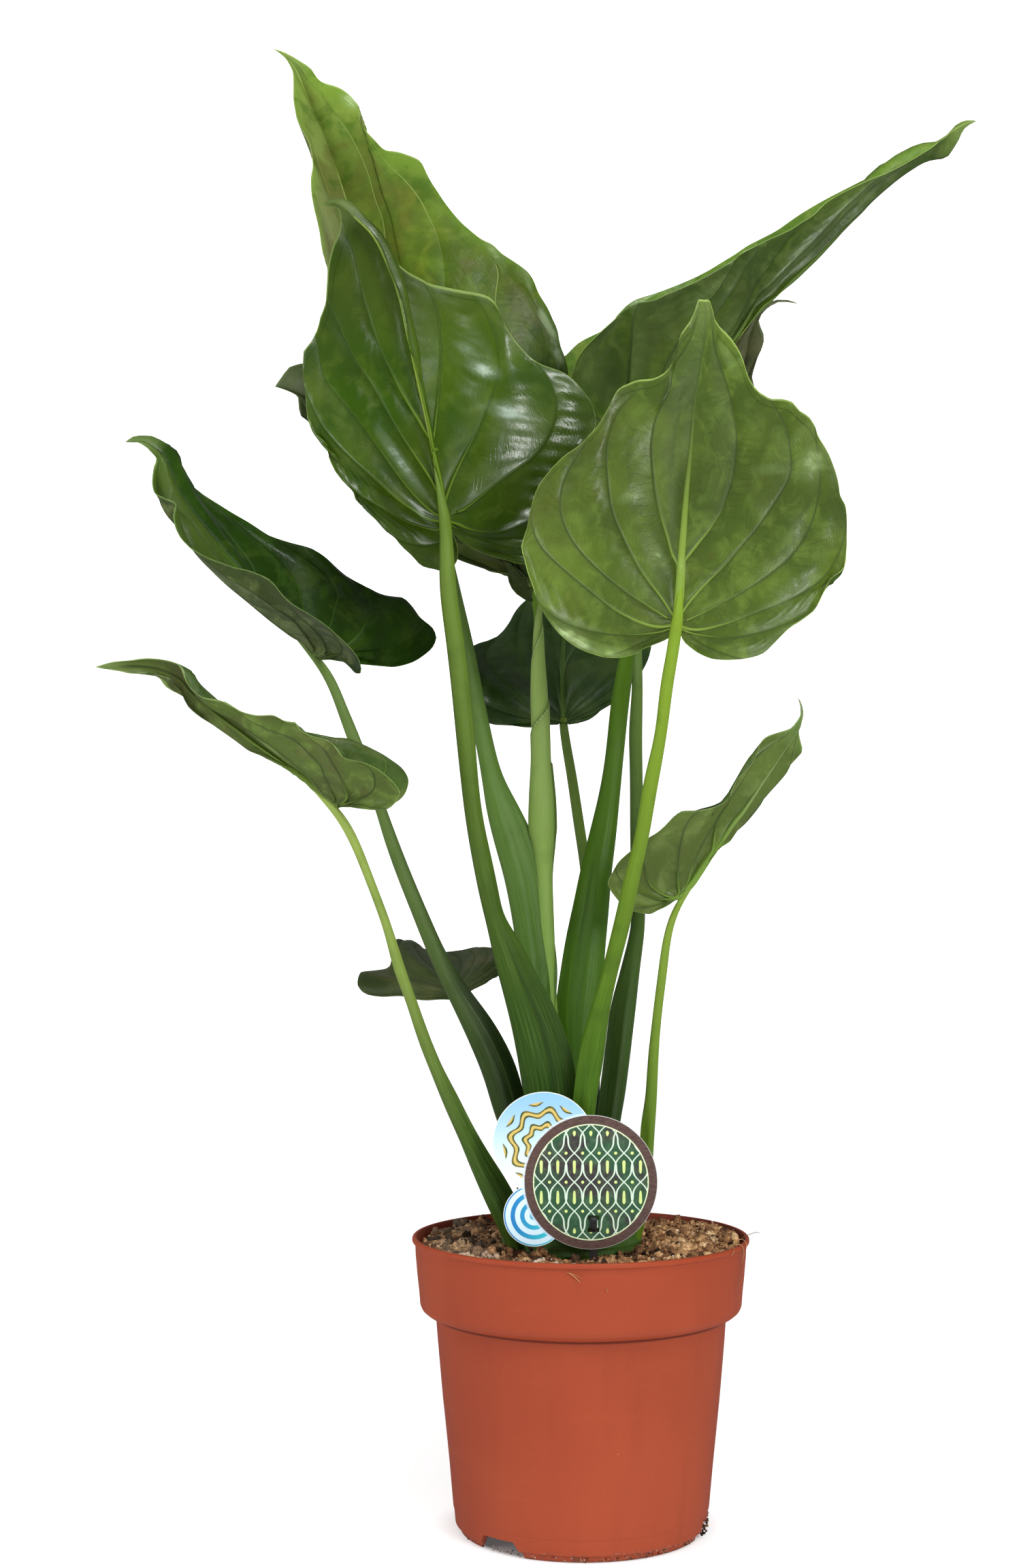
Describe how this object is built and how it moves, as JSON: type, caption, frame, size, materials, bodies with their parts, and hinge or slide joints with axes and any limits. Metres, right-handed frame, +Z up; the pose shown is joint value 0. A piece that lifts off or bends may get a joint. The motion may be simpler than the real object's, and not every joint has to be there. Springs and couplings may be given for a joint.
{
  "type": "potted chinese taro",
  "caption": "House plant with heart-shaped leaves on long stalks, growing in soil in a round plastic nursery pot with a plant label.",
  "frame": {"origin": "middle of the whole plant's footprint box, on the surface the pot stands on", "axes": "+Z up along the pot's axis; the plant's front, where the label is, faces -Y; +X to the right seen from the front"},
  "size_m": [0.5054, 0.3246, 0.8771],
  "materials": {
    "pot_plastic": "satin",
    "peat_soil": "matte",
    "stem": "satin",
    "leaf_blade": "satin",
    "leaf_stalk": "satin",
    "new_leaf": "satin",
    "label_card": "satin",
    "stake_plastic": "satin"
  },
  "bodies": {
    "root": {"pot": "pot_plastic", "soil": "peat_soil", "stem_base": "stem", "leaf_1": "leaf_blade", "leaf_2": "leaf_blade", "leaf_3": "leaf_blade", "leaf_4": "leaf_blade", "leaf_5": "leaf_blade", "leaf_6": "leaf_blade", "leaf_7": "leaf_blade", "leaf_8": "leaf_blade", "leaf_9": "leaf_blade", "leaf_10": "leaf_blade", "leaf_11": "leaf_blade", "leaf_stalk_1": "leaf_stalk", "leaf_stalk_2": "leaf_stalk", "leaf_stalk_3": "leaf_stalk", "leaf_stalk_4": "leaf_stalk", "leaf_stalk_5": "leaf_stalk", "leaf_stalk_6": "leaf_stalk", "leaf_stalk_7": "leaf_stalk", "leaf_stalk_8": "leaf_stalk", "leaf_stalk_9": "leaf_stalk", "leaf_stalk_10": "leaf_stalk", "leaf_stalk_11": "leaf_stalk", "rolled_new_leaf": "new_leaf", "plant_label": "label_card", "label_stake": "stake_plastic"}
  },
  "joints": []
}
